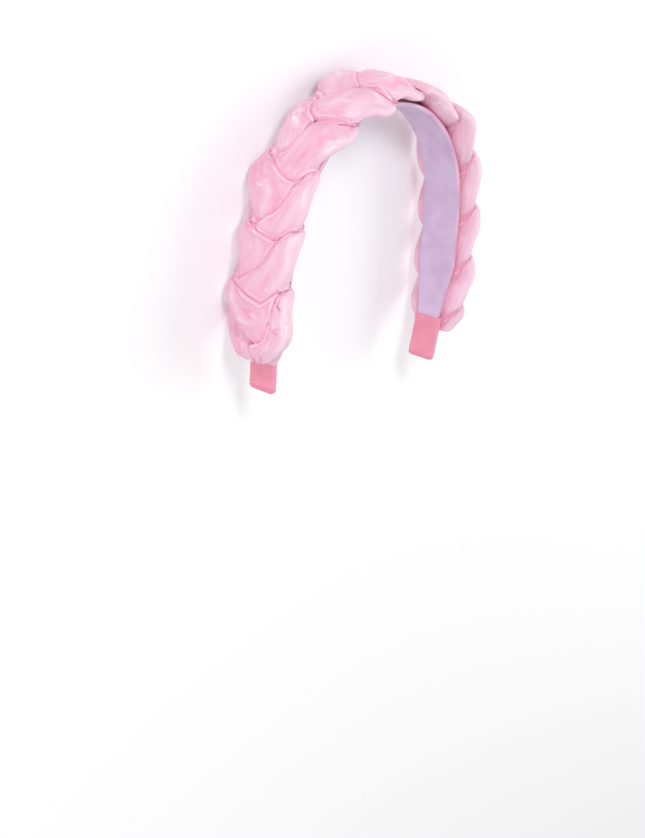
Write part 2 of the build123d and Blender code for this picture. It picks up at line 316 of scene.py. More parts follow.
# Map of the braid's skin: steps round it, parts of each side of a ring, how many steps the
# distance from a seam is followed, how much longer its steps are outside, a distance past all, and
# over how many steps round it the maps of filled valleys, eased sides and melted seams are averaged
MAP_BINS = 240
MAP_PARTS = 6
MAP_STEPS = 11
MAP_STRETCH = 0.7
FAR_AWAY = 99.0
FILL_STEPS, EASE_STEPS, MELT_STEPS = 3, 2, 8

# Seams between the leaves, mm: where the rim with its painted highlight, the band of painted shade
# beside it and the crease of painted shade lie, how valleys are filled and melted seams evened, and
# how the hidden flanks come up just under their neighbours
RIM_HEIGHT = 0.4
RIM_PLACE = 1.15
RIM_WIDTH = 0.45
RIM_SPAN = 0.8
BAND_PLACE = 2.4
BAND_WIDTH = 0.8
CREASE_WIDTH = 1.5
SEAM_WIDTH = 0.75
SEAM_FILL = 1.1
SEAM_FILL_REACH = 2.2
SEAM_FILL_SPREAD = 2.6
SEAM_FILL_FADE = 1.4
MOST_FILL = 2.5
SOFT_SEAM_REACH = 4.0
SIDE_EASE = 0.85
SIDE_EASE_REACH = 8.0
LAP_DEPTH = 0.1
LAP_SLOPE = 0.5
LAP_START = 0.3
LAP_LENGTH = 2.2
LAP_FADE = 1.3
SEEN_DEPTH = 1.6
SEEN_SPAN = 1.2

# Shares: how deep inside the braid points stay put, where its sides begin (for its form and for
# the painted sheen that makes them lighter), how far seams fade there and where they melt, and how
# broken their marks are
INNER_PLACE, INNER_SPAN = 0.35, 0.30
SIDE_PLACE, SIDE_SPAN = 0.80, 0.18
LIGHT_PLACE, LIGHT_SPAN = 0.55, 0.45
# How much of the sides' painted sheen the back edge gets
BACK_SIDE_SHARE = 0.35
SIDE_RIM_LOSS = 0.5
MELTED_CREASE_LOSS = 0.7
LEAST_RIM, LEAST_BAND = 0.45, 0.50

# Satin covers on the two tips, mm
COVER_LOW = 0.02
COVER_STATIONS = 120
COVER_SIDES = 64
COVER_CORNER = 2.6
COVER_GIRTH = 37.0
COVER_ROUNDING = 1.1
COVER_END_LENGTH = 1.2
COVER_END_HEIGHT = 0.25
COVER_CROWDING = 0.75
CORNER_PINCH = 0.9
SLEEVE_SPARE = 0.6
HEM_LENGTH = 2.6
HEM_DEPTH = 0.35
HEM_WIDTH = 0.35
HEM_FADE = 0.5

# Lining round the arch, mm, and where its front edge is bare, as shares of the half band
LINING_SIDES = 48
LINING_STATIONS = 360
LINING_GIRTH = 48.0
LINING_OUT = 0.22
LINING_CORNER = 0.35
LINING_LOW = 0.05
LINING_HIGH = CORE_TOP + 0.12
LINING_SQUARE = 1.9
LINING_TUCK = 0.6
BARE_START = -0.06
BARE_START_FADE = 0.01
BARE_STOP = 0.18
BARE_STOP_FADE = 0.14
BARE_DEPTH = 1.0
BARE_LIP = 0.45
TOP_MARGIN = 0.05
OUTER_START, OUTER_SPAN = 0.45, 0.2

# Camera: turned round the upright band, raised and rolled (degrees), how far the view is off the
# arch's centre (mm), how far away (mm) and its focal length in pixels of the picture
CAMERA_TURN = math.radians(51.834)
CAMERA_RAISE = math.radians(17.665)
CAMERA_ROLL = math.radians(7.568)
CAMERA_OFF = (22.05, 99.41)
CAMERA_DISTANCE = 900.0
CAMERA_FOCAL = 1759.0
PICTURE_HEIGHT = 838
SENSOR_HEIGHT = 36.0

# Studio: floor size in metres, world light, and each lamp's place and size in metres and power
FLOOR_SIZE = 8.0
FLOOR_COLOUR = (0.95, 0.95, 0.96, 1)
WORLD_LIGHT = 0.545
LAMPS = {
    "key": ((-0.55, 0.70, 0.95), 0.35, 5.5),
    "fill": ((-0.9, -0.5, 0.8), 0.9, 4.2),
    "side": ((0.9, 0.1, 0.7), 0.9, 5.0),
}
LAMP_AIM = Vector((0, 0, 0.02))

# Colours of the cloth as in a picture, 0 to 255
# Tones of the strands' cloth, picked by random streaks and clouds, and lighter where painted sheen
# falls on the fold crests and the braid's sides
ORGANZA_TONES = [
    (0.34, (240, 166, 193)),
    (0.46, (241, 184, 206)),
    (0.56, (242, 195, 215)),
    (0.72, (244, 212, 228)),
]
# Painted shade: a deep pink band inside each upper leaf's rim
ORGANZA_BAND_SHADE = (243, 158, 193)
# Painted sheen: lighter lilac on the braid's outer sides, less on the back edge
ORGANZA_SIDE_SHEEN = (242, 212, 232)
# Painted highlight: near white on the rims, the crumples and the raised single folds
ORGANZA_RIM_HIGHLIGHT = (250, 236, 245)
# Painted shade: deep pink in the creases between the leaves and in the grooves
ORGANZA_CREASE_SHADE = (246, 154, 189)
SATIN_LIGHT, SATIN_DARK, SATIN_HEM = (240, 154, 176), (228, 136, 161), (226, 130, 156)
LINING_LIGHT, LINING_DARK, LINING_OUTER = (216, 192, 220), (200, 174, 208), (240, 176, 206)

# The frame's shift from the arch's centre to the row's origin
core_low, core_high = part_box("band_core")
ORIGIN = np.array([
    (core_low.x + core_high.x) / 2,
    core_high.y - (CROWN_RADIUS + CORE_TOP) * MM,
    (core_low.z + core_high.z) / 2,
])


def smooth(share):
    """0 to 1 with soft ends."""
    t = np.clip(share, 0, 1)
    return t * t * (3 - 2 * t)


def hill(off, width):
    """1 at a place and falling to nothing either side of it."""
    return np.exp(-((off / width) ** 2))


def arc(share):
    """0 to 1 along a quarter circle, steep at first."""
    return np.sqrt(1 - (1 - np.clip(share, 0, 1)) ** 2)


def between(first, second, share):
    """From the first value at 0 to the second at 1."""
    return first + (second - first) * share


def column(values):
    """An array along the band, ready to be set against angles round it."""
    return values[:, None]


def seat(s, h):
    """Place across and along the arch of length s and height h, both arrays or numbers."""
    way = np.abs(s)
    side = np.where(np.asarray(s) >= 0, 1.0, -1.0)
    on_side = np.clip(way - CROWN_END, 0, SIDE_END - CROWN_END)
    angle = np.minimum(way, CROWN_END) / CROWN_RADIUS + on_side / SIDE_RADIUS
    far = way > CROWN_END
    gap = CROWN_RADIUS - SIDE_RADIUS
    radius = np.where(far, SIDE_RADIUS, CROWN_RADIUS)
    x = np.where(far, gap * math.sin(CROWN_HALF_ANGLE), 0) + radius * np.sin(angle)
    y = np.where(far, gap * math.cos(CROWN_HALF_ANGLE), 0) + radius * np.cos(angle)
    past = np.maximum(way - SIDE_END, 0)
    x = x + past * np.cos(angle) + h * np.sin(angle)
    y = y - past * np.sin(angle) + h * np.cos(angle)
    return side * x, y


def placed(s, h, z):
    """Points in the row frame, in metres, from places on the band."""
    x, y = seat(s, h)
    return np.stack([x, y, z + 0 * x], -1) * MM + ORIGIN


def read_table(s, table, name):
    """A table's column at each s, with soft steps between its rows."""
    place, at = s / BRAID_END, table[0].index(name)
    found = np.zeros_like(place)
    for row, following in zip(table[1:], table[2:]):
        here = (place >= row[0]) & (place <= following[0])
        share = smooth((place - row[0]) / (following[0] - row[0]))
        found = np.where(here, between(row[at], following[at], share), found)
    return found


def end_swell(s):
    """How full the braid is at s: 0 where it is gathered on a tip, 1 along most of the band."""
    return arc((BRAID_END - np.abs(s)) / GATHER_LENGTH)


def floor_height(s):
    """The level that the strands lie on."""
    ramp = smooth((np.abs(s) - (BAND_END - COVER_LENGTH) + RAMP_LENGTH) / RAMP_LENGTH)
    return between(CORE_TOP, COVER_TOP, ramp) + FLOOR_GAP


def core_width(s):
    """The arch's width at s, which narrows towards the covers."""
    narrow_y = seat(BAND_END - COVER_LENGTH, 0)[1]
    share = np.clip((seat(s, 0)[1] - narrow_y) / CORE_TAPER_LENGTH, 0, 1)
    return between(CORE_TIP_WIDTH, CORE_CROWN_WIDTH, share)


def carrier_half_width(s):
    """Half the width of what the strands lie on: the arch, or the cover round its tip."""
    return np.maximum(core_width(s), COVER_WIDTH) / 2


def bell(reach):
    """Weights over a reach to both sides, which add up to 1."""
    weights = np.hanning(2 * reach + 3)[1:-1]
    return weights / weights.sum()


def softened(values, reach):
    """A row of numbers along the band, averaged over a reach in stations."""
    return np.convolve(np.pad(values, reach, "edge"), bell(reach), "valid")


# Strands: their sections


def strand_state(number, s):
    """A strand's middle, half sizes and place in the lap along s."""
    swell = end_swell(s)
    width_share = between(GATHER_HALF_WIDTH / BRAID_HALF_WIDTH, 1, swell)
    height_share = between(GATHER_THICKNESS / BRAID_THICKNESS, 1, swell)
    height_share = height_share * read_table(s, STRAYS, "full")
    even = (s - BRAID_SHIFT) / BRAID_PITCH - read_table(s, STRAYS, "along")
    turn = 2 * np.pi * (even - number / STRANDS)
    over = np.sin(2 * turn)
    slope = STRAND_SWING * 2 * np.pi / BRAID_PITCH * np.cos(turn)
    return {
        "z": STRAND_SWING * np.sin(turn) * width_share,
        "h": (BRAID_THICKNESS / 2 + STRAND_RISE * over) * height_share,
        "half_width": STRAND_HALF_WIDTH * np.hypot(1, slope) * width_share,
        "half_height": (STRAND_HALF_HEIGHT - STRAND_FLATTENING * np.abs(over)) * height_share,
        "over": over,
        "width_share": width_share,
        "height_share": height_share,
    }


def leading(own, other):
    """How surely a strand lies over another, from 0 to 1."""
    return smooth((own["over"] - other["over"]) / LEAD_SPAN + LEAD_START)


def free_reach(own, dz, dh):
    """How far the strand's own cushion shape reaches along each ray."""
    square = (np.abs(dz) / own["half_width"]) ** SECTION_POWER
    square += (np.abs(dh) / own["half_height"]) ** SECTION_POWER
    return square ** (-1 / SECTION_POWER)


def floor_closeness(own, s, dz, dh):
    """One over the distance to the arch, or past its edge a little lower."""
    flat = own["h"] / np.maximum(-dh, 1e-9)
    beyond = np.abs(own["z"] + dz * flat) - (carrier_half_width(s) + LOBE_DROP)
    drop = LOBE_DROP * own["height_share"] * smooth(beyond / LOBE_DROP)
    return np.where(dh < -1e-6, -dh / (own["h"] + drop), 0)


def neighbour_closeness(own, other, dz, dh):
    """One over the distance to the plane that parts the strand from another, and to its lap."""
    across = other["z"] - own["z"]
    up = other["h"] - own["h"]
    normal_z = across / (LAP_RUN * own["width_share"]) ** 2
    normal_h = up / (LAP_RISE * own["height_share"]) ** 2
    length = np.hypot(normal_z, normal_h)
    normal_z, normal_h = normal_z / length, normal_h / length
    share = 0.5 + LAP_SHARE / 2 * (own["over"] - other["over"])
    lap = between(UNDER_LAP, OVER_LAP, leading(own, other))
    reach = np.maximum((across * normal_z + up * normal_h) * share, LEAST_REACH)
    facing = np.maximum(dz * normal_z + dh * normal_h, 0)
    return facing / reach, facing / (reach + lap)


def strand_section(number, s, angle, states):
    """The rays round a strand's middle, how far it reaches along each, and how near it comes
    there to the other strands (1 where they touch)."""
    own, turn = states[number], np.radians(angle)
    dz = own["half_width"] * np.cos(turn)
    dh = own["half_height"] * np.sin(turn)
    length = np.hypot(dz, dh)
    dz, dh = dz / length, dh / length
    free = free_reach(own, dz, dh)
    floor = floor_closeness(own, s, dz, dh)
    outside = smooth(1 - SIDE_SLOPE * (1 - np.abs(dz)))
    power = CREASE_POWER * (1 - CREASE_SIDE_SOFTNESS * outside)
    total = (free ** -power + floor ** power) ** (1 / power)
    touch = np.zeros_like(free)
    for other in states[:number] + states[number + 1:]:
        parting, closeness = neighbour_closeness(own, other, dz, dh)
        crisp = between(UNDER_POWER, OVER_POWER, leading(own, other))
        power = crisp * (1 - LAP_SIDE_SOFTNESS * outside)
        total = (total ** power + closeness ** power) ** (1 / power)
        touch = np.maximum(touch, np.minimum(parting * free, MOST_TOUCH))
    corner = outside * hill(touch - 1, CORNER_SPREAD)
    under = smooth(-own["over"] * UNDER_SLOPE)
    reach = (1 - CORNER_DRAW * corner) * (1 - UNDER_DRAW * outside * under) / total
    return dz, dh, reach, touch


def dent_share(number, s, angle):
    """How much of a strand's size is left where its broad dents press in."""
    left = 1.0
    for strand, place, at, depth, length, spread in DENTS:
        along = np.abs(s - place * BRAID_END) / (length * BRAID_PITCH)
        across = np.abs((angle - at + 180) % 360 - 180) / spread
        if strand == number:
            left = left * (1 - depth * smooth(1 - along) * smooth(1 - across))
    return left


def pushed(s, z, width_share):
    """Where points across the braid end up once the crossings and edges stray."""
    reach = BRAID_HALF_WIDTH * width_share
    share = z / reach
    middle = 1 - (1 + PUSH_SOFTNESS) * share ** 2 / (np.abs(share) + PUSH_SOFTNESS)
    edge = np.where(z > 0, read_table(s, STRAYS, "front_edge"), read_table(s, STRAYS, "back_edge"))
    push = read_table(s, STRAYS, "front") * STRAND_SWING * width_share
    return z + push * np.maximum(middle, 0) + edge * reach * share * np.abs(share)


# Strands: the folds of their cloth


def cloth_pattern(name, number, s, angle):
    """Smooth random values from -1 to 1 that repeat round the strand."""
    seed, cell, cells_round = PATTERNS[name]
    rows = int(2 * BAND_END / cell) + 4
    grid = np.random.default_rng(seed + number).uniform(-1, 1, (rows, cells_round))
    row, place = (s + BAND_END) / cell + 1, angle / 360 * cells_round
    i, j = np.floor(row).astype(int), np.floor(place).astype(int)
    u, v = smooth(row - i), smooth(place - j)
    first, second = j % cells_round, (j + 1) % cells_round
    low = grid[i, first] * (1 - v) + grid[i, second] * v
    high = grid[i + 1, first] * (1 - v) + grid[i + 1, second] * v
    return low * (1 - u) + high * u


def ridges(phase):
    """Crisp folds: 1 along each crest, 0 half way between two."""
    return 1 - np.abs(np.sin(phase / 2))


def line_share(s, angle, start, start_angle, stop, stop_angle, width, bend):
    """How close each point of a strand is to a line drawn on it: 1 on the line."""
    along = (stop - start) * BRAID_END
    up = math.radians(stop_angle - start_angle) * SKIN_RADIUS
    x = s - start * BRAID_END
    y = np.radians(angle - start_angle) * SKIN_RADIUS
    held = np.clip((x * along + y * up) / (along ** 2 + up ** 2), 0, 1)
    wave = bend * width * np.sin(3 * np.pi * held)
    off = np.hypot(x - held * along, y - held * up + wave)
    return smooth(1.2 - np.abs(2 * held - 1) * 0.9) * hill(off, width)


def single_folds(number, s, angle):
    """Height, shine and depth of shade of the folds that are placed one by one."""
    height, shine, groove = np.zeros((3, *s.shape))
    for strand, *ends, size, width in SINGLE_FOLDS:
        if strand == number:
            line = line_share(s, angle, *ends, width, FOLD_BEND)
            height += size * line
            if size > 0:
                shine = np.maximum(shine, line)
            else:
                groove = np.maximum(groove, line)
    return height, shine, groove


def lace_share(number, s, angle):
    """Where a strand's cloth is crumpled like lace."""
    lace = np.zeros_like(s)
    for strand, *ends, width in LACE_HIGHLIGHTS:
        if strand == number:
            lace = np.maximum(lace, line_share(s, angle, *ends, width, LACE_BEND))
    return lace * smooth(0.5 + 0.9 * cloth_pattern("lace", number, s, angle))


def cloth_folds(number, s, angle, touch, own):
    """How high the folds stand all over a strand, and what shades its cloth."""
    turn = np.radians(angle)
    along, round_it = s + 0 * touch, angle + 0 * touch

    def pattern(name, shift_along=0, shift_round=0):
        return cloth_pattern(name, number, along + shift_along, round_it + shift_round)

    drift, wander = pattern("drift"), pattern("wander")
    patch = smooth(0.55 + 0.8 * pattern("patch"))
    folds = ridges(FOLDS_ROUND * turn + FOLD_DRIFT * drift + FOLD_WANDER * wander)
    pleats = ridges(PLEATS_ROUND * turn + PLEAT_DRIFT * drift + PLEAT_WANDER * wander)
    crumple = 1 - 2 * np.abs(pattern("crumple", CRUMPLE_SHIFTS[0] * wander))
    crumple += 0.5 - np.abs(pattern("fine_crumple", 0, CRUMPLE_SHIFTS[1] * drift))
    seam = smooth((touch - NEAR_SEAM) / NEAR_SEAM_SPAN)
    gathers = ridges(GATHER_PLEATS * turn + GATHER_DRIFT * drift) - GATHER_VALLEY
    gathers = gathers * (1 - end_swell(s) ** GATHER_FADE)
    crumpled = between(LEAST_CRUMPLE, 1, np.maximum(seam, 1 - patch) * patch)
    lift = FOLD_HEIGHT * folds * patch + PLEAT_HEIGHT * pleats * (1 - PLEAT_THINNING * patch)
    lift += CRUMPLE_HEIGHT * crumple * crumpled
    height, shine, groove = single_folds(number, along, round_it)
    lace = lace_share(number, along, round_it)
    size = between(LEAST_FOLDS, 1, own["height_share"])
    lift = lift * size * smooth((AT_SEAM - touch) / AT_SEAM_SPAN) + height + LACE_HEIGHT * lace
    lift += GATHER_PLEAT_HEIGHT * gathers
    skin = (along + SKIN_APART * number, SKIN_RADIUS * np.cos(turn), SKIN_RADIUS * np.sin(turn))
    skin = np.stack(np.broadcast_arrays(*skin), -1)
    # The fold mark lightens the fold crests: partly the doubled cloth, partly painted sheen
    return lift, {
        "shade": {"fold": np.clip(folds * patch + 0.3 * pleats, 0, 1), "skin": skin},
        "broken": smooth(0.6 + 0.6 * pattern("broken")),
        # Shine and lace go into the rim's painted highlight, the groove into the crease's painted
        # shade
        "shine": np.maximum(0.6 * shine, lace),
        "groove": 0.8 * groove,
    }


def ring_angles():
    """Angles round a strand, closer together on its outer side, from the front edge on."""
    even = np.arange(SIDES) * 360 / SIDES
    angle = (even - CROWDING * np.sin(np.radians(even - 90))) % 360
    return np.roll(angle, -int(np.argmin(angle)))


def strand_grid(number):
    """Where the points round a strand lie on the band, and how each is shaded."""
    end = BRAID_END - 0.01
    line, angle = np.linspace(-end, end, STATIONS), ring_angles()
    s = column(line)
    states = [strand_state(strand, s) for strand in range(STRANDS)]
    own = states[number]
    dz, dh, reach, touch = strand_section(number, s, angle, states)
    lift, looks = cloth_folds(number, s, angle, touch, own)
    outwards = smooth(dh * UNDERSIDE_SLOPE + UNDERSIDE_START)
    tuck = 1 - END_TUCK_SHARE * (1 - arc((BRAID_END - np.abs(s)) / END_TUCK))
    reach = (reach * dent_share(number, s, angle) + lift * outwards) * tuck
    z = pushed(s, own["z"] + dz * reach, own["width_share"])
    h = floor_height(s) + own["h"] + dh * reach
    return {"s": line, "angle": angle, "z": z, "h": h, "state": own, **looks}


# Strands together: their outline, seams and slide


def outer_edges(grids):
    """The braid's back and front edge along the band."""
    low = np.min([grid["z"].min(1) for grid in grids], 0)
    high = np.max([grid["z"].max(1) for grid in grids], 0)
    return low, high


def even_outline(grids):
    """Smooths the braid's two outer edges, where a lobe's corner would stick out."""
    s = grids[0]["s"]
    reach = round(OUTLINE_REACH / (s[1] - s[0]))
    low, high = outer_edges(grids)
    place = s / BRAID_END
    scallops = FAR_SCALLOPS * smooth((place - FAR_START) / FAR_FADE)
    for edge, table, sign, kept in ((low, BACK_BULGES, -1, scallops), (high, FRONT_BULGES, 1, 0)):
        aim = between(edge, softened(edge, reach), 1 - kept)
        for middle, spread, size in table:
            aim = aim + sign * size * hill(place - middle, spread)
        for grid in grids:
            share = np.clip(grid["z"] / column(edge), 0, 1)
            grid["z"] = grid["z"] + column(aim - edge) * share ** 3


def blurred(picture, reach_along, reach_round):
    """A map of the braid's skin, averaged along and round it."""
    result = np.stack([softened(row, reach_along) for row in picture.T], 1)
    steps = range(-reach_round, reach_round + 1)
    return sum(w * np.roll(result, step, 1) for w, step in zip(bell(reach_round), steps))


def distance_to(there, step_along, step_round):
    """How far each place of the map is from the places marked in it, in mm."""
    far = np.where(there, 0.0, FAR_AWAY)
    for _ in range(MAP_STEPS):
        for way in (-1, 1):
            round_cost = step_round if way > 0 else np.roll(step_round, -1, 1)
            far = np.minimum(far, np.roll(far, way, 1) + round_cost)
            for slant in (-1, 0, 1):
                moved = np.roll(far, slant, 1)
                cost = step_along if slant == 0 else np.hypot(step_along, step_round)
                nearer = far.copy()
                if way > 0:
                    nearer[1:] = (moved + cost)[:-1]
                else:
                    nearer[:-1] = (moved + cost)[1:]
                far = np.minimum(far, nearer)
    return far


def map_turns(z, h):
    """Where points lie round the braid's middle, in the map's steps."""
    return np.arctan2(h, z) / (2 * np.pi) * MAP_BINS


def skin_map(grids, middle):
    """How far out the braid's skin is round its middle, and which strand it is there."""
    reaches = []
    for grid in grids:
        z, h = grid["z"], grid["h"] - middle
        on_z, on_h = np.roll(z, -1, 1) - z, np.roll(h, -1, 1) - h
        rows = np.indices(z.shape)[0]
        reach = np.zeros((len(z), MAP_BINS))
        for share in np.arange(MAP_PARTS) / MAP_PARTS:
            part_z, part_h = z + on_z * share, h + on_h * share
            bins = np.floor(map_turns(part_z, part_h)).astype(int) % MAP_BINS
            np.maximum.at(reach, (rows, bins), np.hypot(part_z, part_h))
        reaches.append(reach)
    return np.max(reaches, 0), np.argmax(reaches, 0)


def map_reader(z, h):
    """A function that reads a map of the skin at points round the braid's middle."""
    rows = np.indices(z.shape)[0]
    place = (map_turns(z, h) - 0.5) % MAP_BINS
    low = np.floor(place).astype(int) % MAP_BINS
    part = place - np.floor(place)

    def read(picture):
        return picture[rows, low] * (1 - part) + picture[rows, (low + 1) % MAP_BINS] * part

    return read


def skin_maps(grids, middle, step):
    """The maps that the seams are trimmed by: the skin, what fills its valleys, what eases its
    sides and melts its seams, and the distance from each strand's own skin."""
    skin, top = skin_map(grids, middle)
    step_round = np.hypot(skin * 2 * np.pi / MAP_BINS, skin - np.roll(skin, 1, 1))
    step_along = step * (1 + skin / CROWN_RADIUS * MAP_STRETCH)
    filled = blurred(skin, round(SEAM_FILL_REACH / step), FILL_STEPS)
    return {
        "skin": skin,
        "fill": np.clip(filled - skin, 0, MOST_FILL),
        "eased": blurred(skin, round(SIDE_EASE_REACH / step), EASE_STEPS) - skin,
        "melted": blurred(skin, round(SOFT_SEAM_REACH / step), MELT_STEPS) - skin,
        "seams": [distance_to(top == number, step_along, step_round) for number in range(STRANDS)],
    }


def soft_share(s, z):
    """How much the seams melt together at each point."""
    soft = np.zeros_like(z)
    for at, spread, across, width, share in SOFT_SEAMS:
        there = hill(s / BRAID_END - at, spread)
        soft = np.maximum(soft, share * there * hill(z - across, width))
    return soft


def seam_marks(number, grids, gaps):
    """Marks of a raised rim over a seam (painted highlight), a band beside it and a crease along it
    (painted shade).
    """
    own = grids[number]["state"]
    rim, band, crease = np.zeros((3, *grids[number]["z"].shape))
    for other, gap in gaps.items():
        above = smooth((own["over"] - grids[other]["state"]["over"]) / RIM_SPAN + 0.5)
        rim = np.maximum(rim, above * hill(gap - RIM_PLACE, RIM_WIDTH))
        band = np.maximum(band, above * hill(gap - BAND_PLACE, BAND_WIDTH))
        width = SEAM_WIDTH * above + CREASE_WIDTH * (1 - above)
        crease = np.maximum(crease, hill(gap, width))
    return rim, band, crease


def trim_strand(number, grids, middle, maps):
    """Moves one strand's points out to the trimmed skin, and shades its seams."""
    grid = grids[number]
    s, z, h = column(grid["s"]), grid["z"], grid["h"] - middle
    first = np.hypot(z, h)
    read = map_reader(z, h)
    skin, past = read(maps["skin"]), read(maps["seams"][number])
    inner = smooth((BRAID_END - np.abs(s) - END_TUCK) / END_TUCK)
    held = smooth(past / LAP_START) * smooth(LAP_FADE - past / LAP_LENGTH) * inner
    held *= smooth((first / np.maximum(skin, 1) - INNER_PLACE) / INNER_SPAN)
    out = first + np.maximum(skin - LAP_DEPTH - LAP_SLOPE * past - first, 0) * held
    seen = smooth((out - skin + SEEN_DEPTH) / SEEN_SPAN)
    gaps = {other: read(maps["seams"][other]) for other in range(STRANDS) if other != number}
    nearest = np.min(list(gaps.values()), 0)
    soft = soft_share(s, z)
    rim, band, crease = seam_marks(number, grids, gaps)
    rim, band = rim * (1 - soft), band * (1 - soft)
    crease = crease * (1 - MELTED_CREASE_LOSS * soft)
    side = smooth((np.abs(z) / np.maximum(first, 1e-6) - SIDE_PLACE) / SIDE_SPAN)
    near = smooth(SEAM_FILL_FADE - nearest / SEAM_FILL_SPREAD)
    move = read(maps["fill"]) * (1 - soft) * SEAM_FILL * near
    move += read(maps["melted"]) * soft
    move += read(maps["eased"]) * SIDE_EASE * side
    move += RIM_HEIGHT * rim * (1 - SIDE_RIM_LOSS * side)
    scale = (out + move * seen * inner) / np.maximum(first, 1e-6)
    grid["z"], grid["h"] = z * scale, middle + h * scale
    # The rim carries the painted highlight, the band and the crease carry painted shade
    rim = seen * rim * between(LEAST_RIM, 1, grid["broken"])
    band = seen * band * between(LEAST_BAND, 1, grid["broken"])
    grid["shade"]["rim"] = np.clip(np.maximum(rim, grid["shine"]), 0, 1)
    grid["shade"]["band"] = np.clip(band, 0, 1)
    grid["shade"]["crease"] = np.clip(np.maximum(seen * crease, grid["groove"]), 0, 1)


def trim_seams(grids):
    """Fills the valleys between the strands, raises the upper leaf's rim and shades them."""
    s, own = column(grids[0]["s"]), grids[0]["state"]
    middle = floor_height(s) + BRAID_THICKNESS / 2 * own["height_share"]
    maps = skin_maps(grids, middle, s[1, 0] - s[0, 0])
    for number in range(STRANDS):
        trim_strand(number, grids, middle, maps)


def slide_along(grids):
    """Slides the leaves along the band, and hangs the crown's front lobes over its edge."""
    s = column(grids[0]["s"])
    low, high = (column(edge) for edge in outer_edges(grids))
    middle = read_table(s, SLIDES, "middle")
    for grid in grids:
        z = grid["z"]
        slide = middle + 0 * z
        for edge, name in ((low, "back"), (high, "front")):
            far = read_table(s, SLIDES, name) - middle
            share = np.clip((z / edge - SLIDE_START) / (1 - SLIDE_START), 0, 1)
            fall = SLIDE_FALL * smooth((share - SLIDE_FALL_START) / (1 - SLIDE_FALL_START))
            slide += far * share ** SLIDE_POWER * (1 - fall)
        grid["along"] = s + slide
        past = z - carrier_half_width(s) - LOBE_DROP / 2
        for at, spread, depth in HANGS:
            there = hill(s / BRAID_END - at, spread)
            grid["h"] = grid["h"] - depth * there * smooth(past / HANG_REACH)
        # The braid's outer sides are marked for a lighter painted sheen, less on the back edge
        light = smooth((np.abs(z) / np.maximum(-low, high) - LIGHT_PLACE) / LIGHT_SPAN)
        grid["shade"]["side"] = light * np.where(z > 0, 1, BACK_SIDE_SHARE)


def hold_outline(grids):
    """Draws in what sticks out of the braid's evened outer edges."""
    s = grids[0]["s"]
    reach = round(OUTLINE_HOLD / (s[1] - s[0]))
    rows = np.arange(len(s))
    for sign in (-1, 1):
        widest = np.zeros(len(s))
        for grid in grids:
            tops = (sign * grid["z"]).argmax(1)
            along = np.maximum.accumulate(grid["along"][rows, tops])
            widest = np.maximum(widest, np.interp(s, along, sign * grid["z"][rows, tops]))
        widest = softened(widest, reach)
        for grid in grids:
            edge = np.interp(grid["along"], s, widest)
            out = np.maximum(sign * grid["z"] - edge + OUTLINE_MARGIN, 0)
            grid["z"] -= sign * (out - OUTLINE_MARGIN * np.tanh(out / OUTLINE_MARGIN))


# Meshes


def add_object(name, data):
    """A new object in the scene."""
    thing = bpy.data.objects.new(name, data)
    bpy.context.scene.collection.objects.link(thing)
    return thing


def tube_faces(rings, sides):
    """Quads round a tube and the fans that close its two ends."""
    ring = np.arange(rings - 1)[:, None] * sides
    side = np.arange(sides)[None]
    nearby = (side + 1) % sides
    quads = np.stack([ring + side, ring + nearby, ring + nearby + sides, ring + side + sides], -1)
    first, last = rings * sides, (rings - 1) * sides
    fans = []
    for centre, base, order in ((first, 0, -1), (first + 1, last, 1)):
        for corner in range(sides):
            pair = (base + corner, base + (corner + 1) % sides)[::order]
            fans.append((centre, *pair))
    return quads.reshape(-1, 4), fans


def add_tube_uv(mesh, quads, s, around, girth):
    """UVs in mm: length along the tube, and the way round it."""
    u = np.concatenate([np.repeat(s, len(around)), [s[0], s[-1]]])
    v = np.concatenate([np.tile(around, len(s)), [0, 0]])
    loops = np.zeros(len(mesh.loops), np.int32)
    mesh.loops.foreach_get("vertex_index", loops)
    pairs = np.stack([u[loops], v[loops]], -1)
    closing = pairs[: len(quads) * 4].reshape(-1, 4, 2)
    wraps = closing[:, 0, 1] > closing[:, 1, 1]
    closing[wraps, 1:3, 1] += girth
    uv = mesh.uv_layers.new(name="UVMap")
    uv.data.foreach_set("uv", pairs.astype(np.float32).reshape(-1))


def tube(name, points, shade, s, around, girth):
    """A closed tube through rings of points, with UVs in mm and shade attributes."""
    rings, sides = points.shape[:2]
    quads, fans = tube_faces(rings, sides)
    vertices = np.concatenate([points.reshape(-1, 3), [points[0].mean(0), points[-1].mean(0)]])
    faces = quads.tolist() + fans
    mesh = bpy.data.meshes.new(name)
    mesh.from_pydata(vertices.tolist(), [], faces)
    mesh.polygons.foreach_set("use_smooth", np.ones(len(faces), bool))
    for key, values in shade.items():
        vector = values.ndim == 3
        layer = mesh.attributes.new(key, "FLOAT_VECTOR" if vector else "FLOAT", "POINT")
        ends = values[[0, -1], 0].reshape(2, -1)
        flat = np.concatenate([values.reshape(rings * sides, -1), ends])
        layer.data.foreach_set("vector" if vector else "value", flat.astype(np.float32).reshape(-1))
    add_tube_uv(mesh, quads, s, around, girth)
    mesh.update()
    return add_object(name, mesh)


# Materials


def linear(red, green, blue):
    """A picture's colour, 0 to 255, in scene light."""
    return tuple(
        v / 255 / 12.92 if v <= 10 else ((v / 255 + 0.055) / 1.055) ** 2.4
        for v in (red, green, blue)
    )


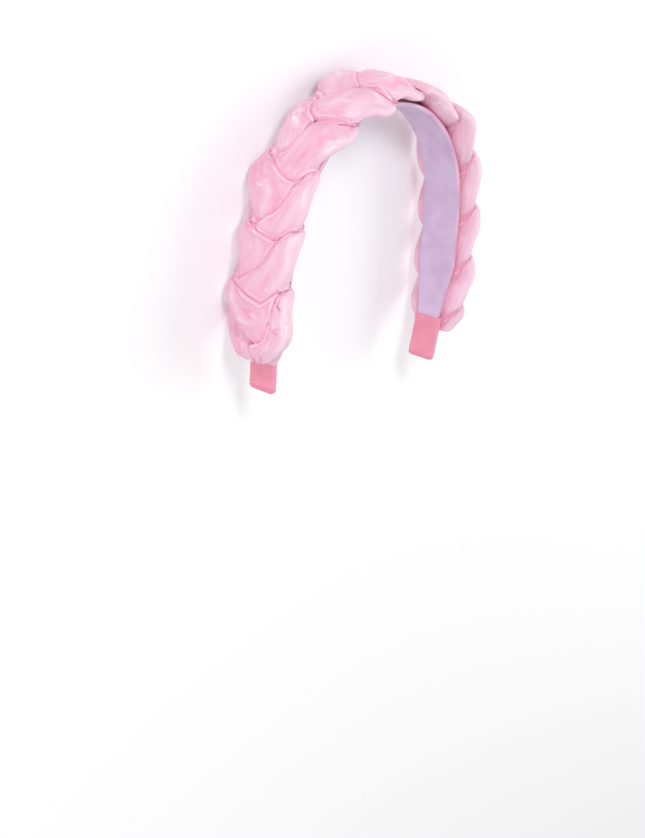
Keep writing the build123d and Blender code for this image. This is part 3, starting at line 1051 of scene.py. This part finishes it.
class Nodes:
    """A short way to build a material's nodes."""

    def __init__(self, name):
        self.material = bpy.data.materials.new(name)
        self.material.use_nodes = True
        self.tree = self.material.node_tree
        self.shader = self.tree.nodes["Principled BSDF"]

    def add(self, kind, links=(), **settings):
        node = self.tree.nodes.new(kind)
        for key, value in settings.items():
            setattr(node, key, value)
        for socket, source in dict(links).items():
            self.put(node, socket, source)
        return node

    def put(self, node, socket, source):
        if isinstance(source, bpy.types.NodeSocket):
            self.tree.links.new(source, node.inputs[socket])
        else:
            node.inputs[socket].default_value = source

    def finish(self, **values):
        """Sets the shader's sockets, named with underscores for spaces."""
        for socket, value in values.items():
            self.put(self.shader, socket.replace("_", " "), value)
        return self.material

    def attribute(self, name):
        return self.add("ShaderNodeAttribute", attribute_name=name).outputs["Fac"]

    def math(self, operation, first, second=0.0):
        return self.add("ShaderNodeMath", {0: first, 1: second}, operation=operation).outputs[0]

    def waves(self, place, length):
        """A sine along a place in mm."""
        return self.math("SINE", self.math("MULTIPLY", place, 2 * math.pi / length))

    def balance(self, total, shares):
        """A middle value moved by each source's distance from its own middle."""
        for source, middle, weight in shares:
            part = self.math("MULTIPLY", self.math("SUBTRACT", source, middle), weight)
            total = self.math("ADD", total, part)
        return total

    def ramp(self, source, stops):
        node = self.add("ShaderNodeValToRGB", {0: source})
        elements = node.color_ramp.elements
        while len(elements) < len(stops):
            elements.new(0.5)
        for element, (place, colour) in zip(elements, stops):
            element.position = place
            element.color = (*colour, 1)
        return node.outputs[0]

    def mix(self, share, first, second):
        node = self.add("ShaderNodeMix", data_type="RGBA")
        self.put(node, 0, share)
        self.put(node, 6, first)
        self.put(node, 7, (*second, 1))
        return node.outputs[2]

    def laid_over(self, first, attribute, most, second):
        """A colour laid over another by an attribute, which covers at most a share of it."""
        share = self.math("MULTIPLY", self.attribute(attribute), most)
        return self.mix(share, first, linear(*second))

    def noise(self, vector, scale, detail=2.0, roughness=0.5, distortion=0.0):
        links = {"Vector": vector, "Scale": scale, "Detail": detail}
        links |= {"Roughness": roughness, "Distortion": distortion}
        return self.add("ShaderNodeTexNoise", links).outputs["Fac"]

    def stretched(self, vector, factors):
        links = {0: vector, 1: factors}
        return self.add("ShaderNodeVectorMath", links, operation="MULTIPLY").outputs[0]

    def bump(self, height, strength, distance, normal=None):
        links = {"Height": height, "Strength": strength, "Distance": distance}
        if normal is not None:
            links["Normal"] = normal
        return self.add("ShaderNodeBump", links).outputs[0]


def organza_material():
    """Pink sheer cloth in layers: deep pink painted shade in the creases, silky streaks that are
    partly painted sheen, near white painted highlights on the rims.
    """
    n = Nodes("organza")
    where = n.add("ShaderNodeTexCoord")
    skin = n.add("ShaderNodeAttribute", attribute_name="skin").outputs["Vector"]
    # Streaks along each strand: random tone that also stands in for painted sheen
    streak = n.noise(n.stretched(skin, (0.045, 0.34, 0.34)), 1.0, 5.0, 0.62, 0.8)
    fine = n.noise(n.stretched(skin, (0.16, 1.3, 1.3)), 1.0, 3.0, 0.6, 0.5)
    cloud = n.noise(where.outputs["Object"], 75.0, 3.0)
    # Tone: random clouds and fine spots, plus painted sheen in the streaks, on the fold crests and
    # on the sides
    tone = n.balance(0.5, (
        (streak, 0.5, 0.40),
        (cloud, 0.5, 0.42),
        (fine, 0.5, 0.16),
        (n.attribute("fold"), 0.35, 0.12),
        (n.attribute("side"), 0.3, 0.06),
    ))
    colour = n.ramp(tone, [(place, linear(*shade)) for place, shade in ORGANZA_TONES])
    # Painted shade in the band inside the rims
    colour = n.laid_over(colour, "band", 0.55, ORGANZA_BAND_SHADE)
    # Painted sheen on the braid's sides
    colour = n.laid_over(colour, "side", 0.4, ORGANZA_SIDE_SHEEN)
    # Painted highlight on the rims, crumples and raised folds
    colour = n.laid_over(colour, "rim", 0.75, ORGANZA_RIM_HIGHLIGHT)
    # Painted shade in the creases and grooves
    colour = n.laid_over(colour, "crease", 0.85, ORGANZA_CREASE_SHADE)
    split = n.add("ShaderNodeSeparateXYZ", {0: where.outputs["UV"]})
    weave = n.math("MULTIPLY", *(n.waves(split.outputs[axis], 0.35) for axis in (0, 1)))
    relief = n.bump(streak, 0.55, 0.0010)
    relief = n.bump(n.noise(where.outputs["Object"], 340.0, 3.0), 0.35, 0.0005, relief)
    relief = n.bump(fine, 0.5, 0.0004, relief)
    return n.finish(
        Base_Color=colour,
        Roughness=n.ramp(fine, [(0.3, (0.30,) * 3), (0.7, (0.46,) * 3)]),
        Specular_IOR_Level=0.75,
        Sheen_Weight=0.3,
        Sheen_Roughness=0.35,
        Sheen_Tint=(1.0, 0.84, 0.92, 1.0),
        Normal=n.bump(weave, 0.10, 0.00006, relief),
    )


def woven_material(name, light, dark, roughness, marked, most, mark):
    """Close woven satin with a soft sheen across its threads, and a colour where it is marked."""
    n = Nodes(name)
    where = n.add("ShaderNodeTexCoord")
    spot = n.noise(where.outputs["Object"], 90.0, 3.0)
    colour = n.ramp(spot, [(0.3, linear(*dark)), (0.7, linear(*light))])
    split = n.add("ShaderNodeSeparateXYZ", {0: where.outputs["UV"]})
    thread = n.waves(split.outputs[1], 0.28)
    twill = n.waves(n.math("ADD", split.outputs[0], split.outputs[1]), 0.6)
    weave = n.math("ADD", n.math("MULTIPLY", thread, 0.6), twill)
    relief = n.bump(n.noise(where.outputs["Object"], 420.0, 2.0), 0.3, 0.0003)
    return n.finish(
        Base_Color=n.laid_over(colour, marked, most, mark),
        Roughness=roughness,
        Sheen_Weight=0.25,
        Sheen_Roughness=0.3,
        Sheen_Tint=(1.0, 0.92, 0.95, 1.0),
        Normal=n.bump(weave, 0.12, 0.00006, relief),
    )


def plastic_material():
    """The dark strip inside the band, seen only at its edges."""
    n = Nodes("core_plastic")
    where = n.add("ShaderNodeTexCoord")
    grain = n.noise(where.outputs["Object"], 700.0, 4.0)
    return n.finish(
        Base_Color=n.ramp(grain, [(0.3, (0.02, 0.018, 0.02)), (0.7, (0.035, 0.03, 0.035))]),
        Roughness=0.55,
        Normal=n.bump(grain, 0.2, 0.0001),
    )


def dress(thing, material, slot, *nodes):
    """Finishes a piece: its material, its body and the CAD nodes it stands for."""
    thing.data.materials.clear()
    thing.data.materials.append(material)
    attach(thing, "root")
    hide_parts(*nodes)


# Braid
organza = organza_material()
grids = [strand_grid(number) for number in range(STRANDS)]
even_outline(grids)
trim_seams(grids)
slide_along(grids)
hold_outline(grids)
for number, grid in enumerate(grids):
    points = placed(grid["along"], grid["h"], grid["z"])
    around = np.radians(grid["angle"]) * SKIN_RADIUS
    girth = 2 * math.pi * SKIN_RADIUS
    strand = tube(f"strand_{number + 1}", points, grid["shade"], grid["s"], around, girth)
    dress(strand, organza, "organza", f"braid_strand_{number + 1}")


# Satin covers on the two tips


def tip_sleeve(name, side):
    """A satin sleeve with soft edges and a folded, closed end."""
    share = np.linspace(0, 1, COVER_STATIONS)
    s = (BAND_END - COVER_LENGTH * (1 - share ** COVER_CROWDING)) * side
    left = column(BAND_END - np.abs(s))
    turn = np.arange(COVER_SIDES) * 2 * np.pi / COVER_SIDES
    c, q = np.cos(turn), np.sin(turn)
    middle, half_height = (COVER_LOW + COVER_TOP) / 2, (COVER_TOP - COVER_LOW) / 2
    power = 1 / (half_height / COVER_ROUNDING + 1)
    narrow = COVER_CORNER * (1 - arc(left / COVER_CORNER))
    half_width = COVER_WIDTH / 2 + SLEEVE_SPARE - CORNER_PINCH * narrow
    z = np.sign(c) * np.abs(c) ** power * half_width
    h = np.sign(q) * np.abs(q) ** power * half_height
    h = h * between(COVER_END_HEIGHT, 1, arc(left / COVER_END_LENGTH))
    h = h - HEM_DEPTH * hill(left - HEM_LENGTH, HEM_WIDTH) * (h > 0)
    around = np.arange(COVER_SIDES) * COVER_GIRTH / COVER_SIDES
    hem = smooth((HEM_LENGTH - left) / HEM_FADE) + 0 * z
    return tube(name, placed(column(s), middle + h, z), {"hem": hem}, s, around, COVER_GIRTH)


satin = woven_material("satin", SATIN_LIGHT, SATIN_DARK, 0.34, "hem", 0.7, SATIN_HEM)
dress(tip_sleeve("sleeve_right", -1), satin, "satin", "tip_cover_right")
dress(tip_sleeve("sleeve_left", 1), satin, "satin", "tip_cover_left")


# Lining round the arch


def lining_wrap():
    """The lavender cloth on the arch's inner face, turned up round its two edges except where
    the front one is bare."""
    end = BAND_END - COVER_LENGTH + LINING_TUCK
    s = np.linspace(-end, end, LINING_STATIONS)
    turn = np.radians(np.arange(LINING_SIDES) * 360 / LINING_SIDES)
    c, q = np.cos(turn), np.sin(turn)
    half_width = column(core_width(s) / 2 + LINING_OUT)
    middle, half_height = (LINING_LOW + LINING_HIGH) / 2, (LINING_HIGH - LINING_LOW) / 2
    z = np.clip(c * LINING_SQUARE, -1, 1) * (half_width - LINING_CORNER) + LINING_CORNER * c
    h = np.clip(q * LINING_SQUARE, -1, 1) * (half_height - LINING_CORNER) + LINING_CORNER * q
    place = column(s) / BAND_END
    bare = smooth((place - BARE_START) / BARE_START_FADE)
    bare = bare * smooth((BARE_STOP - place) / BARE_STOP_FADE)
    on_top = h > half_height - TOP_MARGIN
    z = np.where(on_top, np.minimum(z, half_width - BARE_DEPTH * bare), z)
    lip = between(BARE_LIP, half_height, 1 - bare)
    h = np.where((z > 0) & ~on_top, np.minimum(h, lip), h)
    around = np.arange(LINING_SIDES) * LINING_GIRTH / LINING_SIDES
    outer = smooth(((q * half_height + middle) / CORE_TOP - OUTER_START) / OUTER_SPAN) + 0 * z
    points = placed(column(s), middle + h, z)
    return tube("lining_wrap", points, {"outer": outer}, s, around, LINING_GIRTH)


lining = woven_material("lining_cloth", LINING_LIGHT, LINING_DARK, 0.5, "outer", 1.0, LINING_OUTER)
dress(lining_wrap(), lining, "lining", "inner_lining")

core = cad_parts["band_core"]
core.data.materials.clear()
core.data.materials.append(plastic_material())


# Camera


def turned(angle, first, second):
    """A rotation in the plane of two axes."""
    matrix = np.eye(3)
    matrix[first, first] = matrix[second, second] = math.cos(angle)
    matrix[first, second] = -math.sin(angle)
    matrix[second, first] = math.sin(angle)
    return matrix


view = turned(-CAMERA_ROLL, 0, 2) @ turned(CAMERA_RAISE, 1, 2) @ turned(CAMERA_TURN, 0, 1)
right, ahead, up = (Vector((axis[0], axis[2], -axis[1])) for axis in view)
across, over = CAMERA_OFF
eye = -(ahead * CAMERA_DISTANCE + right * across + up * over) * MM + Vector(ORIGIN)
lens = bpy.data.cameras.new("camera")
camera = add_object("camera", lens)
axes = [(right[i], up[i], -ahead[i], eye[i]) for i in range(3)]
camera.matrix_world = Matrix((*axes, (0, 0, 0, 1)))
lens.sensor_fit = "VERTICAL"
lens.sensor_height = SENSOR_HEIGHT
lens.lens = SENSOR_HEIGHT * CAMERA_FOCAL / PICTURE_HEIGHT
bpy.context.scene.camera = camera

# Floor and light
half = FLOOR_SIZE / 2
corners = [(-half, -half, 0), (half, -half, 0), (half, half, 0), (-half, half, 0)]
floor_mesh = bpy.data.meshes.new("floor")
floor_mesh.from_pydata(corners, [], [(0, 1, 2, 3)])
floor = add_object("floor", floor_mesh)
floor_mesh.materials.append(Nodes("studio_floor").finish(Base_Color=FLOOR_COLOUR, Roughness=0.9))
bpy.context.scene.view_settings.view_transform = "Standard"

world = bpy.data.worlds.new("studio")
bpy.context.scene.world = world
world.use_nodes = True
background = world.node_tree.nodes["Background"]
background.inputs["Color"].default_value = (1, 1, 1, 1)
background.inputs["Strength"].default_value = WORLD_LIGHT

for name, (place, size, power) in LAMPS.items():
    data = bpy.data.lights.new(name, "AREA")
    data.energy = power
    data.size = size
    light = add_object(name, data)
    light.location = place
    light.rotation_euler = (LAMP_AIM - Vector(place)).to_track_quat("-Z", "Y").to_euler()
